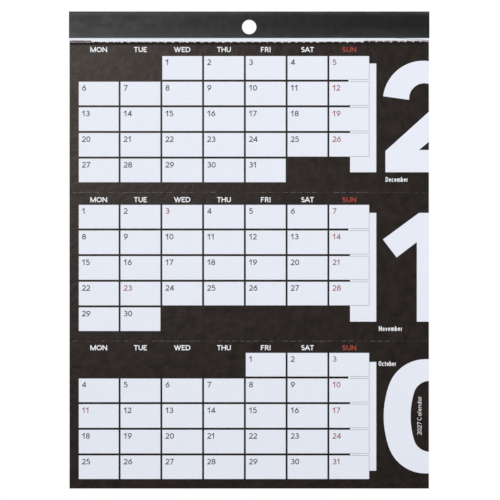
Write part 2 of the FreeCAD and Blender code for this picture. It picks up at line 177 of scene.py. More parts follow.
# Pen paths of each character in a square of one: two numbers are a corner, six are an arc with its
# centre, radii, first and last angle. The first number of each entry is the character's width.
CAPITALS = {
    "A": (1.0, [[(0, 0), (0.5, 1)], [(0.5, 1), (1, 0)], [(0.2, 0.3), (0.8, 0.3)]]),
    "D": (0.92, [[(0, 0), (0, 1)], [(0, 1), (0.4, 0.5, 0.6, 0.5, 90, -90), (0, 0)]]),
    "E": (0.66, [[(0, 0), (0, 1)], [(0, 1), (1, 1)], [(0, 0.52), (0.9, 0.52)], [(0, 0), (1, 0)]]),
    "F": (0.62, [[(0, 0), (0, 1)], [(0, 1), (1, 1)], [(0, 0.5), (0.9, 0.5)]]),
    "H": (0.86, [[(0, 0), (0, 1)], [(1, 0), (1, 1)], [(0, 0.52), (1, 0.52)]]),
    "I": (0.2, [[(0.5, 0), (0.5, 1)]]),
    "M": (1.08, [[(0, 0), (0, 1)], [(1, 0), (1, 1)], [(0, 1), (0.5, 0)], [(0.5, 0), (1, 1)]]),
    "N": (0.9, [[(0, 0), (0, 1)], [(1, 0), (1, 1)], [(0, 1), (1, 0)]]),
    "O": (1.06, [[(0.5, 0.5, 0.5, 0.5, 0, 360)]]),
    "R": (0.74, [[(0, 0), (0, 1)], [(0, 1), (0.5, 0.74, 0.42, 0.26, 90, -90), (0, 0.48)],
                 [(0.5, 0.48), (1, 0)]]),
    "S": (0.7, [[(0.5, 0.76, 0.46, 0.24, 30, 270), (0.5, 0.26, 0.5, 0.26, 90, -150)]]),
    "T": (0.74, [[(0, 1), (1, 1)], [(0.5, 0), (0.5, 1)]]),
    "U": (0.84, [[(0, 1), (0.5, 0.4, 0.5, 0.4, 180, 360), (1, 1)]]),
    "W": (1.36, [[(0, 1), (0.27, 0)], [(0.27, 0), (0.5, 1)], [(0.5, 1), (0.73, 0)],
                 [(0.73, 0), (1, 1)]]),
}
FIGURES = {
    "0": (0.72, [[(0.5, 0.5, 0.5, 0.5, 0, 360)]]),
    "1": (0.6, [[(0, 0.76), (0.62, 1)], [(0.62, 0), (0.62, 1)]]),
    "2": (0.68, [[(0.48, 0.7, 0.46, 0.3, 165, -32), (0, 0)], [(0, 0), (1, 0)]]),
    "3": (0.68, [[(0.48, 0.76, 0.42, 0.24, 150, -90), (0.46, 0.27, 0.54, 0.27, 90, -155)]]),
    "4": (0.76, [[(0.74, 1), (0, 0.26)], [(0, 0.26), (1, 0.26)], [(0.74, 0), (0.74, 1)]]),
    "5": (0.68, [[(0.14, 1), (0.92, 1)], [(0.14, 1), (0.1, 0.56)],
                 [(0.1, 0.56), (0.44, 0.32, 0.56, 0.32, 105, -150)]]),
    "6": (0.72, [[(0.5, 0.32, 0.5, 0.32, 0, 360)], [(0.72, 1), (0.06, 0.5)]]),
    "7": (0.68, [[(0, 1), (1, 1)], [(1, 1), (0.3, 0)]]),
    "8": (0.7, [[(0.5, 0.76, 0.42, 0.24, 0, 360)], [(0.5, 0.26, 0.5, 0.26, 0, 360)]]),
    "9": (0.72, [[(0.5, 0.68, 0.5, 0.32, 0, 360)], [(0.28, 0), (0.94, 0.5)]]),
}
SMALL_LETTERS = {
    "a": (0.46, [[(0.5, 0.33, 0.5, 0.33, 0, 360)], [(1, 0), (1, 0.66)]]),
    "b": (0.46, [[(0, 0), (0, 1)], [(0.5, 0.33, 0.5, 0.33, 0, 360)]]),
    "c": (0.44, [[(0.5, 0.33, 0.5, 0.33, 40, 320)]]),
    "d": (0.46, [[(1, 0), (1, 1)], [(0.5, 0.33, 0.5, 0.33, 0, 360)]]),
    "e": (0.44, [[(0, 0.33), (1, 0.33)], [(0.5, 0.33, 0.5, 0.33, 0, 310)]]),
    "l": (0.2, [[(0.5, 0), (0.5, 1)]]),
    "m": (0.7, [[(0, 0), (0, 0.7)], [(0, 0.3), (0.25, 0.42, 0.25, 0.24, 180, 0), (0.5, 0)],
                [(0.5, 0.3), (0.75, 0.42, 0.25, 0.24, 180, 0), (1, 0)]]),
    "n": (0.46, [[(0, 0), (0, 0.7)], [(0, 0.3), (0.5, 0.4, 0.5, 0.26, 180, 0), (1, 0)]]),
    "o": (0.46, [[(0.5, 0.33, 0.5, 0.33, 0, 360)]]),
    "r": (0.32, [[(0, 0), (0, 0.7)], [(0, 0.3), (0.8, 0.4, 0.8, 0.26, 180, 80)]]),
    "t": (0.3, [[(0.4, 0), (0.4, 0.95)], [(0, 0.66), (1, 0.66)]]),
    "v": (0.44, [[(0, 0.66), (0.5, 0)], [(0.5, 0), (1, 0.66)]]),
    "C": (0.66, [[(0.5, 0.5, 0.5, 0.5, 45, 315)]]),
    "D": (0.56, [[(0, 0), (0, 1)], [(0, 1), (0.35, 0.5, 0.65, 0.5, 90, -90), (0, 0)]]),
    "N": (0.58, [[(0, 0), (0, 1)], [(1, 0), (1, 1)], [(0, 1), (1, 0)]]),
    "O": (0.6, [[(0.5, 0.5, 0.5, 0.5, 0, 360)]]),
}
LOWER_CASE = {**FIGURES, **SMALL_LETTERS}


def trace(parts):
    """The points of a pen path, with an arc's points ARC_STEP degrees apart."""
    runs = []
    for part in parts:
        if len(part) == 2:
            runs.append(np.array([part], float))
            continue
        across, up, half_width, half_height, first, last = part
        turn = np.radians(np.linspace(first, last, 2 + int(abs(last - first) // ARC_STEP)))
        runs.append(np.column_stack((across + half_width * np.cos(turn), up + half_height * np.sin(turn))))
    points = np.concatenate(runs)
    steps = np.linalg.norm(np.diff(points, axis=0), axis=1)
    return points[np.append(True, steps > SAME_POINT)]


def cut_level(sides, ahead, end, limits):
    """Slides a stroke's two end corners along its direction until they meet the side of the character's box.

    sides are the corners, ahead the direction, end the path's end in the unit square, and limits the
    box's width and height. A stroke that runs along that side, less than STEEP towards it, is left as it is.
    """
    for axis in (1, 0):
        at_side = end[axis] in (0, 1)
        if at_side and abs(ahead[axis]) > STEEP:
            level = limits[axis] * end[axis]
            return sides + ((level - sides[:, axis]) / ahead[axis])[:, None] * ahead
    return sides


def pen_stroke(parts, width, weight):
    """Left and right edges of one pen stroke in a box that is 1 high, and whether it closes.

    Each edge is the path moved half the weight along its normal, widened where the path bends.
    """
    unit = trace(parts)
    path = weight / 2 + unit * (np.array([width, 1]) - weight)
    closed = bool(np.allclose(path[0], path[-1]))
    if closed:
        path = path[:-1]
    steps = np.roll(path, -1, axis=0) - path
    steps /= np.linalg.norm(steps, axis=1)[:, None]
    before = np.roll(steps, 1, axis=0)
    if not closed:
        steps[-1] = steps[-2]
        before[0] = steps[0]
    ahead = steps + before
    ahead /= np.linalg.norm(ahead, axis=1)[:, None]
    spread = weight / 2 / np.clip((ahead * steps).sum(axis=1), SHARPEST_TURN, 1)
    normal = np.column_stack((-ahead[:, 1], ahead[:, 0])) * spread[:, None]
    edges = np.stack((path + normal, path - normal), axis=1)
    if not closed:
        edges[0] = cut_level(edges[0], ahead[0], unit[0], (width, 1))
        edges[-1] = cut_level(edges[-1], ahead[-1], unit[-1], (width, 1))
    return edges, closed


def stroke_shell(edges, closed, face, raised):
    """A closed ribbon: two edges raised off the face that carries it, and the same two BITE inside it."""
    count = len(edges)
    ring = np.empty((count, 4, 3))
    ring[:, :2, 0] = edges[:, :, 0]
    ring[:, :2, 2] = edges[:, :, 1]
    ring[:, :2, 1] = face - raised
    ring[:, 2:] = ring[:, 1::-1]
    ring[:, 2:, 1] = face + BITE
    faces = grid_faces(count, 4, round_rows=True, round_columns=True) if closed else tube_faces(count, 4)
    return ring.reshape(-1, 3), faces


def word(text, alphabet, left, bottom, height, face, weight, width=None, gap=0, stretch=1, upward=False):
    """Shells of a line of text: characters side by side, spaced to fill the width where one is given.

    stretch widens each character. upward turns the line a quarter turn to the left, so that it reads from
    bottom to top.
    """
    widths = [alphabet[letter][0] * stretch for letter in text]
    if width:
        gap = (width / height - sum(widths)) / (len(text) - 1)
    shells = []
    pen = 0.0
    for letter, letter_width in zip(text, widths):
        for number, parts in enumerate(alphabet[letter][1]):
            edges, closed = pen_stroke(parts, letter_width, weight)
            edges = (edges + np.array([pen, 0])) * height
            if upward:
                edges = np.stack((-edges[..., 1], edges[..., 0]), axis=-1)
            edges = edges + np.array([left, bottom])
            shells.append(stroke_shell(edges, closed, face, INK * (1 + STROKE_RISE * number)))
        pen += letter_width + gap
    return shells


# ---------------------------------------------------------------- finishes

CLOUD_SCALE = 160
FIBRE_SCALE = 1500
WAVE_SCALE = 230
FIBRE_STRETCH = (1, 1, 2.2)
RAMP_ENDS = (0.3, 0.7)
GLOSS_SPREAD = 0.1
TOOTH_STRENGTH = 0.25
TOOTH_HEIGHT = 0.02 * MM


def new_finish(name, roughness, specular, tint):
    """A material with its shader and its Object coordinates."""
    material = bpy.data.materials.new(name)
    material.use_nodes = True
    nodes = material.node_tree.nodes
    shader = nodes["Principled BSDF"]
    shader.inputs["Roughness"].default_value = roughness
    shader.inputs["Specular IOR Level"].default_value = specular
    shader.inputs["Specular Tint"].default_value = (*tint, 1)
    coordinates = nodes.new("ShaderNodeTexCoord")
    return material, shader, coordinates.outputs["Object"]


def noise(material, place, scale, detail, stretch=(1, 1, 1)):
    """A noise pattern on Object coordinates, stretched by a Mapping node."""
    nodes, links = material.node_tree.nodes, material.node_tree.links
    mapping = nodes.new("ShaderNodeMapping")
    mapping.inputs["Scale"].default_value = stretch
    links.new(place, mapping.inputs["Vector"])
    texture = nodes.new("ShaderNodeTexNoise")
    texture.inputs["Scale"].default_value = scale
    texture.inputs["Detail"].default_value = detail
    links.new(mapping.outputs["Vector"], texture.inputs["Vector"])
    return texture.outputs["Fac"]


def colour_ramp(material, factor, stops):
    """Colours between the places on a ramp."""
    ramp = material.node_tree.nodes.new("ShaderNodeValToRGB")
    elements = ramp.color_ramp.elements
    while len(elements) < len(stops):
        elements.new(0.5)
    for element, (place, colour) in zip(elements, stops):
        element.position = place
        element.color = (*colour, 1)
    material.node_tree.links.new(factor, ramp.inputs["Fac"])
    return ramp.outputs["Color"]


def multiply(material, first, second):
    """The product of two colours."""
    mix = material.node_tree.nodes.new("ShaderNodeMix")
    mix.data_type = "RGBA"
    mix.blend_type = "MULTIPLY"
    mix.inputs["Factor"].default_value = 1.0
    material.node_tree.links.new(first, mix.inputs[6])
    material.node_tree.links.new(second, mix.inputs[7])
    return mix.outputs[2]


def shade(colour, factor):
    """A colour made lighter or darker."""
    return tuple(channel * factor for channel in colour)


def bump(material, height, strength, distance, under=None):
    """A bump's normal, laid over another bump where one is given."""
    node = material.node_tree.nodes.new("ShaderNodeBump")
    node.inputs["Strength"].default_value = strength
    node.inputs["Distance"].default_value = distance
    material.node_tree.links.new(height, node.inputs["Height"])
    if under:
        material.node_tree.links.new(under, node.inputs["Normal"])
    return node.outputs["Normal"]


def roughness_range(material, shader, factor, low, high):
    """Drives the roughness from low to high by a factor."""
    node = material.node_tree.nodes.new("ShaderNodeMapRange")
    node.inputs["To Min"].default_value = low
    node.inputs["To Max"].default_value = high
    material.node_tree.links.new(factor, node.inputs["Value"])
    material.node_tree.links.new(node.outputs["Result"], shader.inputs["Roughness"])


def by_height(material, place, low, high, stops):
    """The colours of a ramp between two heights, from the Z of the Object coordinates."""
    nodes, links = material.node_tree.nodes, material.node_tree.links
    split = nodes.new("ShaderNodeSeparateXYZ")
    links.new(place, split.inputs["Vector"])
    span = nodes.new("ShaderNodeMapRange")
    span.inputs["From Min"].default_value = low
    span.inputs["From Max"].default_value = high
    links.new(split.outputs["Z"], span.inputs["Value"])
    return colour_ramp(material, span.outputs["Result"], stops)


def printed_finish(name, colour, roughness, specular, mottle, grain=0.0, tint=(1, 1, 1), waves=0.0,
                   painted_sheen=None, stretch=(1, 1, 1)):
    """Ink or paper: broad clouds in its colour and gloss, times fine fibres, with a faint tooth.

    mottle is the clouds' share of the colour and grain the fibres'. waves is the height of shallow waves in
    the sheet. painted_sheen is a lowest and a highest height and the share of the colour that shows between
    them, which paints a sheen into the colour, and stretch pulls the clouds out.
    """
    material, shader, place = new_finish(name, roughness, specular, tint)
    clouds = noise(material, place, CLOUD_SCALE, 4, stretch)
    fibres = noise(material, place, FIBRE_SCALE, 3, FIBRE_STRETCH)
    tones = (shade(colour, 1 - mottle), shade(colour, 1 + mottle))
    broad = colour_ramp(material, clouds, list(zip(RAMP_ENDS, tones)))
    fine = colour_ramp(material, fibres, list(zip(RAMP_ENDS, ((1 - grain,) * 3, (1.0,) * 3))))
    base = multiply(material, broad, fine)
    if painted_sheen:
        base = multiply(material, base, by_height(material, place, *painted_sheen))
    material.node_tree.links.new(base, shader.inputs["Base Color"])
    roughness_range(material, shader, clouds, roughness - GLOSS_SPREAD, roughness + GLOSS_SPREAD)
    wavy = bump(material, noise(material, place, WAVE_SCALE, 4), 1.0, waves) if waves else None
    tooth = bump(material, fibres, TOOTH_STRENGTH, TOOTH_HEIGHT, wavy)
    material.node_tree.links.new(tooth, shader.inputs["Normal"])
    return material


# Each finish with its colour, roughness, specular level, mottle and grain.
WHITE_PAPER = printed_finish("white_paper", (0.82, 0.835, 0.9), 0.8, 0.2, 0.006, 0.015)
BLACK_GROUND = printed_finish("black_ground", (0.0056, 0.0036, 0.003), 0.27, 0.185, 1.0, 0.1,
                              tint=(1, 0.855, 0.785), waves=0.12 * MM)
WHITE_LETTERS = printed_finish("white_letters", (0.88, 0.88, 0.9), 0.8, 0.2, 0.01, 0.02)
FIGURE_INK = printed_finish("figure_ink", (0.02, 0.021, 0.024), 0.6, 0.2, 0.1, 0.1)
RED_INK = printed_finish("red_ink", (0.34, 0.075, 0.07), 0.6, 0.2, 0.05, 0.05)
SUNDAY_INK = printed_finish("sunday_ink", (0.38, 0.055, 0.035), 0.6, 0.2, 0.05, 0.05)
TORN_FIBRE = printed_finish("torn_fibre", (0.66, 0.61, 0.64), 0.9, 0.1, 0.15, 0.15)
# The middle stub's torn strip is dark grey: both its ink and painted shadow of the gap under the front stub.
INK_AND_SHADOW_FIBRE = printed_finish("ink_and_shadow_fibre", (0.13, 0.118, 0.12), 0.9, 0.1, 0.3, 0.2)
# The rear stub's torn strip is grey: torn fibres with painted shade under the stubs in front.
SHADED_FIBRE = printed_finish("shaded_fibre", (0.4, 0.36, 0.36), 0.9, 0.1, 0.3, 0.2)
# The slits' ridges: the paper's core greyed with painted shade, and a darker grey that is painted shade.
PALE_SLIT = printed_finish("pale_slit", (0.5, 0.48, 0.49), 0.9, 0.1, 0.3, 0.15)
SHADED_SLIT = printed_finish("shaded_slit", (0.15, 0.145, 0.15), 0.9, 0.1, 0.3, 0.15)
# Towards its fold and its lower edges the header's card is painted paler: a painted sheen, where the card
# catches the light.
CARD_PAINTED_SHEEN = (
    (0.02, (0.35, 0.42, 0.5)),
    (0.1, (0.29, 0.31, 0.33)),
    (0.134, (0.23, 0.23, 0.23)),
    (0.36, (0.08, 0.08, 0.08)),
    (0.45, (0.016, 0.016, 0.016)),
    (0.8, (0.02, 0.02, 0.02)),
    (0.886, (0.24, 0.22, 0.21)),
    (0.923, (0.42, 0.38, 0.36)),
    (0.961, (0.74, 0.67, 0.64)),
    (1, (1, 0.9, 0.86)),
)
CHARCOAL_CARD = printed_finish("charcoal_card", (0.05, 0.05, 0.05), 0.27, 0.16, 0.5, 0.15, waves=0.06 * MM,
                               painted_sheen=(STRIP_LOW.z, STRIP_HIGH.z, CARD_PAINTED_SHEEN), stretch=(0.5, 1, 1.3))


def dress(node, material):
    """Gives a CAD node its finish."""
    slots = frame["nodes"][node].data.materials
    slots.clear()
    slots.append(material)


dress("header_strip", CHARCOAL_CARD)


# ---------------------------------------------------------------- bent leaf

# Three leaves were torn off along one line, and the last leaf is bent back there towards the wall.
DIP = 0.33 * MM
DIP_REACH = 2.0 * MM
DIP_POWER = 1.4
WELD = 0.001 * MM
ON_LEVEL = 1e-8
LEVELS_ABOVE = 6
LEVELS_BELOW = 14
BEND_LEVELS = np.concatenate((
    np.linspace(STRIP_LOW.z, FIRST_PERFORATION + SLIT_WIDTH / 2, LEVELS_ABOVE),
    np.linspace(FIRST_PERFORATION - SLIT_WIDTH / 2, FIRST_PERFORATION - DIP_REACH, LEVELS_BELOW),
))


def set_back(heights):
    """How far the leaf lies behind its flat place: deepest at the first perforation.

    Above that line the dip is half a cosine wave from the strip's lower edge. Below it the dip is what is
    left of DIP_REACH, raised to a power, and levels out there.
    """
    above = np.clip((STRIP_LOW.z - heights) / (STRIP_LOW.z - FIRST_PERFORATION), 0, 1)
    below = np.clip((FIRST_PERFORATION - heights) / DIP_REACH, 0, 1)
    return DIP * np.where(below > 0, (1 - below) ** DIP_POWER, (1 - np.cos(np.pi * above)) / 2)


def bent_sheet(name, node, material):
    """A merged copy of one of the frame's flat sheets, cut across at the bend's levels and set back there."""
    shape = bmesh.new()
    shape.from_mesh(frame["nodes"][node].data)
    bmesh.ops.remove_doubles(shape, verts=shape.verts, dist=WELD)
    for level in BEND_LEVELS:
        parts = shape.verts[:] + shape.edges[:] + shape.faces[:]
        bmesh.ops.bisect_plane(shape, geom=parts, dist=ON_LEVEL, plane_co=(0, 0, level), plane_no=(0, 0, 1))
    bmesh.ops.triangulate(shape, faces=shape.faces)
    mesh = bpy.data.meshes.new(name)
    shape.to_mesh(mesh)
    shape.free()
    mesh.materials.clear()
    points = np.empty(len(mesh.vertices) * 3, np.float32)
    mesh.vertices.foreach_get("co", points)
    points[1::3] += set_back(points[2::3])
    mesh.vertices.foreach_set("co", points)
    mesh.update()
    place_piece(name, mesh, material, [node])


bent_sheet("bent_leaf", "october_december_leaf", WHITE_PAPER)
bent_sheet("bent_ground", "ground_print", BLACK_GROUND)

BLEED = 0.8 * MM
BLEED_LEVELS = 9


def print_bleed():
    """The ground's own edge past the first perforation, behind the stubs: a strip that dips with the leaf.

    Its outline, from the side, goes up the back in BLEED_LEVELS steps and comes down the front.
    """
    height = GROUND_HIGH.z + np.linspace(0, BLEED, BLEED_LEVELS)
    depth = np.array([PAPER_FACE + BITE, PAPER_FACE - INK])[:, None] + set_back(height)
    loop_height = np.concatenate((height, height[::-1]))
    loop_depth = np.concatenate((depth[0], depth[1][::-1]))
    across = np.array([GROUND_LOW.x, GROUND_HIGH.x])[:, None]
    points = np.stack(np.broadcast_arrays(across, loop_depth, loop_height), axis=-1)
    return [(points.reshape(-1, 3), tube_faces(2, 2 * BLEED_LEVELS))]


add_piece("print_bleed", print_bleed(), BLACK_GROUND)


# ---------------------------------------------------------------- torn stubs

HOLE_RADIUS = frame["record"]["mounts"][0]["dims"]["r_mm"] * MM
TEAR_STEP = 0.08 * MM

# How far above its tear a stub starts to thin: the front one, and those behind it.
FRONT_DEPTH = 0.25 * MM
REAR_DEPTH = 0.7 * MM

# How much higher each stub is torn over its first ties and over its last ones.
LEFT_TIES = 3
RIGHT_TIES = 9
FRONT_RISES = (0.75 * MM, 0.55 * MM)
MIDDLE_RISES = (0.05 * MM, 0.3 * MM)
REAR_RISES = (-0.3 * MM, 0.15 * MM)
RISE_MARGIN = 0.6 * MM
RISE_WIDTH = 0.8 * MM
SLANT = 0.16 * MM

# Tongues: how far they hang at most, and the ranges of each one's place and half width, both in mm, of its
# share of that drop and of its lean.
TONGUE_DROP = 0.65 * MM
RISE_SHARE = 0.45
LEFT_SHARE = 0.28
TONGUE_SHIFT = 0.25
TONGUE_HALVES = (0.7, 1.35)
TONGUE_SHARES = (0.55, 1.0)
TONGUE_LEAN = 0.4
TONGUE_ROUNDING = 0.8
TONGUE_THINNING = 0.75

# Fibres and wander, each as a height and the spacing of its knots, in mm.
FINE_FIBRES = (0.06, 0.12)
COARSE_FIBRES = (0.08, 0.4)
FIBRES_ON_TONGUE = 1.5
FIBRES_BETWEEN = 0.25 * TONGUE_DROP
WANDER = (0.14, 1.6)
WANDER_LEVEL = -0.05

SIDE_STEPS = 8
TOP_STEPS = 181
INNER_WIDTH = 0.9995
INNER_HEIGHT = 0.995
CURL = 0.9


def smooth_noise(random, places, height, spacing):
    """Random knots from -height to height, spacing millimetres apart, with a smooth curve between them."""
    along = (places - places.min()) / (spacing * MM)
    knots = random.uniform(-1, 1, int(along.max()) + 2)
    whole = along.astype(int)
    part = along - whole
    part = part * part * (3 - 2 * part)
    return height * (knots[whole] * (1 - part) + knots[whole + 1] * part)


def torn_line(places, level, random):
    """Height of the torn edge over the places, and how much of the sheet's thickness is left there.

    The edge follows level, and between the ties it wanders a little about it. At each tie a tongue hangs
    down: a rounded tooth of its own width, height and lean, with fibres on it. The tongues are longer
    where level lies higher, and short over the first ties.
    """
    ties = SLIT_COUNT + 1
    order = np.clip(np.round((places - FIRST_TIE) / SLIT_SPACING), 0, SLIT_COUNT).astype(int)
    shift = random.uniform(-TONGUE_SHIFT, TONGUE_SHIFT, ties)[order] * MM
    half = random.uniform(*TONGUE_HALVES, ties)[order] * MM
    share = random.uniform(*TONGUE_SHARES, ties)[order] * np.where(order < LEFT_TIES, LEFT_SHARE, 1)
    lean = random.uniform(-TONGUE_LEAN, TONGUE_LEAN, ties)[order]
    away = (places - FIRST_TIE - order * SLIT_SPACING - shift) / half
    tooth = np.clip(1 - np.abs(away + lean * (1 - away ** 2)), 0, 1) ** TONGUE_ROUNDING
    fibres = smooth_noise(random, places, *FINE_FIBRES) + smooth_noise(random, places, *COARSE_FIBRES)
    reach = TONGUE_DROP + RISE_SHARE * np.clip(level - FIRST_PERFORATION, 0, None)
    hang = share * reach * tooth * (1 + fibres * FIBRES_ON_TONGUE) + np.abs(fibres) * FIBRES_BETWEEN
    wander = (smooth_noise(random, places, *WANDER) + WANDER_LEVEL) * MM * (1 - tooth)
    left = 1 - TONGUE_THINNING * np.clip(tooth * 2, 0, 1)
    return level + wander - np.clip(hang, 0, reach), left


def stub_outline(level_at, depth, top, side, random):
    """The stub's outline, round from its lower left corner, and an inner line for the tear to thin from.

    The lower edge is the torn line, in TEAR_STEP steps, and the inner line lies depth above its level. The
    top is stepped evenly in angle about the hole. The third result is the share of the sheet's thickness
    that is left at each point.
    """
    across = np.arange(-side, side, TEAR_STEP)
    level = level_at(across)
    edge, left = torn_line(across, level, random)
    lower = np.column_stack((across, edge))
    lower_inner = np.column_stack((across * INNER_WIDTH, level + depth))
    rise = np.arange(SIDE_STEPS) / SIDE_STEPS
    right = np.column_stack((np.full(SIDE_STEPS, side), level[-1] + rise * (top - level[-1])))
    corner = np.arctan2(top, side)
    turn = np.linspace(corner, np.pi - corner, TOP_STEPS)
    upper = np.column_stack((top / np.tan(turn), np.full(TOP_STEPS, top)))
    left_side = np.column_stack((np.full(SIDE_STEPS, -side), top + rise * (level[0] - top)))[1:]
    rest = np.concatenate((right, upper, left_side))
    outline = np.concatenate((lower, rest))
    inner = np.concatenate((lower_inner, rest * np.array([INNER_WIDTH, INNER_HEIGHT])))
    thickness = np.append(left, np.ones(len(rest)))
    return outline, inner, thickness


def torn_stub(node, level_at, depth, fibre, seed):
    """A stub as one closed surface: a ring round the hole, an inner line and the torn outline, twice.

    The three run outwards in front and back again behind. The sheet keeps its full thickness up to the inner
    line, depth above the tear, and thins from there to torn fibres at its tongues.
    """
    random = np.random.default_rng(seed)
    low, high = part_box(node)
    outline, inner, thickness = stub_outline(level_at, depth, high.z, high.x, random)
    turn = np.arctan2(outline[:, 1], outline[:, 0])
    ring = np.column_stack((np.cos(turn), np.sin(turn))) * HOLE_RADIUS
    middle = (low.y + high.y) / 2
    half = (high.y - low.y) / 2
    curl = half * (1 - thickness) * random.uniform(-CURL, CURL, len(thickness))
    front_edge = middle + curl - half * thickness
    back_edge = middle + curl + half * thickness
    front = np.full(len(outline), low.y)
    back = np.full(len(outline), high.y)
    layers = [(ring, front), (inner, front), (outline, front_edge), (outline, back_edge), (inner, back),
              (ring, back)]
    points = np.stack([np.column_stack((flat[:, 0], plane, flat[:, 1])) for flat, plane in layers])
    faces = grid_faces(len(layers), len(outline), round_rows=True, round_columns=True)
    piece = add_piece(f"torn_{node}", [(points.reshape(-1, 3), faces)], WHITE_PAPER, [node])
    piece.data.materials.append(fibre)
    torn = np.zeros((len(layers), len(outline)), np.int32)
    torn[1:4] = outline[:, 1] < level_at(outline[:, 0]) + depth
    piece.data.polygons.foreach_set("material_index", torn.ravel())


def torn_level(rises):
    """A function that gives the tear's level, higher over the first and the last ties.

    From the middle to the right it also rises by half of SLANT.
    """
    left_end = FIRST_TIE + SLIT_SPACING * LEFT_TIES - RISE_MARGIN
    right_end = FIRST_TIE + SLIT_SPACING * (SLIT_COUNT - RIGHT_TIES) + RISE_MARGIN

    def level_at(across):
        left = np.clip((left_end - across) / RISE_WIDTH, 0, 1)
        right = np.clip((across - right_end) / RISE_WIDTH, 0, 1)
        slant = SLANT * np.clip(across / LEAF_HIGH.x, 0, 0.5)
        return FIRST_PERFORATION + slant + rises[0] * left + rises[1] * right

    return level_at


torn_stub("stub_july_september", torn_level(REAR_RISES), REAR_DEPTH, SHADED_FIBRE, seed=3)
torn_stub("stub_april_june", torn_level(MIDDLE_RISES), REAR_DEPTH, INK_AND_SHADOW_FIBRE, seed=5)
torn_stub("stub_january_march", torn_level(FRONT_RISES), FRONT_DEPTH, TORN_FIBRE, seed=8)


# ---------------------------------------------------------------- perforations

LIP_POINTS = 8
LIP_STEPS = 12
LIP_HEIGHT = 0.1 * MM
LIP_SUNK = 0.03 * MM
# The ranges of a crest's share of LIP_HEIGHT, along one slit and from slit to slit.
CREST_ALONG = (0.6, 1.0)
CREST_OF_SLIT = (0.5, 1.0)
# Most slits show the paper's core as a ridge, greyed with painted shade of the narrow slit. Beyond the large
# figures and at the torn line they take a darker grey, painted shade.
SHADED_FROM = STEM_RIGHT + 8 * MM
PALE_SHARE = 0.7


def lip_rows():
    """One ridge for each slit: half a round profile, carried along the slit with a crest of changing height.

    Gives the pale ones and the darker ones, painted shade, apart.
    """
    random = np.random.default_rng(seed=11)
    turn = np.radians(np.linspace(0, 180, LIP_POINTS))
    pale, shaded = [], []
    for month, level in MONTH_TOPS.items():
        for number in range(SLIT_COUNT):
            left = FIRST_TIE + SLIT_SPACING * number + (SLIT_SPACING - SLIT_LENGTH) / 2
            along = np.linspace(left, left + SLIT_LENGTH, LIP_STEPS)
            crest = random.uniform(*CREST_ALONG, LIP_STEPS) * random.uniform(*CREST_OF_SLIT)
            height = level + np.cos(turn)[None, :] * (SLIT_WIDTH / 2 + BITE)
            raised = crest[:, None] * np.sin(turn) * LIP_HEIGHT
            depth = LEAF_HIGH.y - LIP_SUNK - raised + set_back(height)
            points = np.stack(np.broadcast_arrays(along[:, None], depth, height), axis=-1)
            is_pale = month != "december" and left < SHADED_FROM and random.uniform() < PALE_SHARE
            (pale if is_pale else shaded).append((points.reshape(-1, 3), tube_faces(LIP_STEPS, LIP_POINTS)))
    return pale, shaded


pale_slits, shaded_slits = lip_rows()
add_piece("pale_slits", pale_slits, PALE_SLIT)
add_piece("shaded_slits", shaded_slits, SHADED_SLIT)


# ---------------------------------------------------------------- print

WEEKDAYS = ("MON", "TUE", "WED", "THU", "FRI", "SAT", "SUN")
WEEKDAY_WIDTHS = [width * MM for width in (9.75, 7.5, 9.5, 8.0, 5.65, 7.4, 8.1)]
WEEKDAY_HEIGHT = 3.0 * MM
WEEKDAY_DROPS = {"december": 3.0 * MM, "november": 2.76 * MM, "october": 2.33 * MM}
WEEKDAY_WEIGHT = 0.18
RED_DAYS = {"december": (), "november": (3, 23), "october": (11,)}
FIGURE_HEIGHT = 3.25 * MM
FIGURE_LEFT = 1.93 * MM
FIGURE_TOP = 1.95 * MM
FIGURE_GAP = 0.09
FIGURE_WEIGHT = 0.145
HAIRLINE = 0.15 * MM


def column_left(column):
    """The left side of a column's boxes."""
    return GRID_LEFT + COLUMN_STEP * column


def row_top(month, week):
    """The upper side of a week's boxes."""
    return MONTH_TOPS[month] - HEADS[month] - ROW_STEP * week


def days_of(month):
    """Each day with its week's row and its weekday's column."""
    first, count = calendar.monthrange(YEAR, MONTHS[month])
    return [(day + 1, *divmod(first + day, DAYS_IN_WEEK)) for day in range(count)]


def weekday_names():
    """Headings centred over their columns, white, with the Sundays apart in red."""
    white, red = [], []
    for month, top in MONTH_TOPS.items():
        bottom = top - WEEKDAY_DROPS[month] - WEEKDAY_HEIGHT
        for column, (name, width) in enumerate(zip(WEEKDAYS, WEEKDAY_WIDTHS)):
            left = column_left(column) + CELL_WIDTH / 2 - width / 2
            letters = word(name, CAPITALS, left, bottom, WEEKDAY_HEIGHT, GROUND_FACE, WEEKDAY_WEIGHT, width)
            (red if name == "SUN" else white).extend(letters)
    return white, red


def date_figures():
    """The day numbers at the upper left of their boxes, black, with Sundays and holidays apart in red."""
    black, red = [], []
    for month in MONTHS:
        for day, week, column in days_of(month):
            bottom = row_top(month, week) - FIGURE_TOP - FIGURE_HEIGHT
            left = column_left(column) + FIGURE_LEFT
            figures = word(str(day), FIGURES, left, bottom, FIGURE_HEIGHT, PAPER_FACE, FIGURE_WEIGHT,
                           gap=FIGURE_GAP)
            is_red = column == DAYS_IN_WEEK - 1 or day in RED_DAYS[month]
            (red if is_red else black).extend(figures)
    return black, red


def outlines_over_stems():
    """Hairlines round the Sunday boxes, where those run over the large white stem."""
    half = HAIRLINE / 2
    spans = []
    right = column_left(DAYS_IN_WEEK - 1) + CELL_WIDTH
    for month, top in MONTH_TOPS.items():
        stem_top = top - NUMERAL_DROPS[month]
        stem_bottom = stem_top - NUMERAL_HEIGHT
        for _, week, column in days_of(month):
            if column != DAYS_IN_WEEK - 1:
                continue
            upper = row_top(month, week)
            lower = upper - CELL_HEIGHT
            spans += [(STEM_LEFT, right, level - half, level + half)
                      for level in (upper, lower) if stem_bottom < level < stem_top]
            spans.append((right - half, right + half, max(lower, stem_bottom), min(upper, stem_top)))
    return bars(spans, PAPER_FACE - INK, PAPER_FACE + BITE)


MONTH_HEIGHT = 2.85 * MM
MONTH_WEIGHT = 0.16
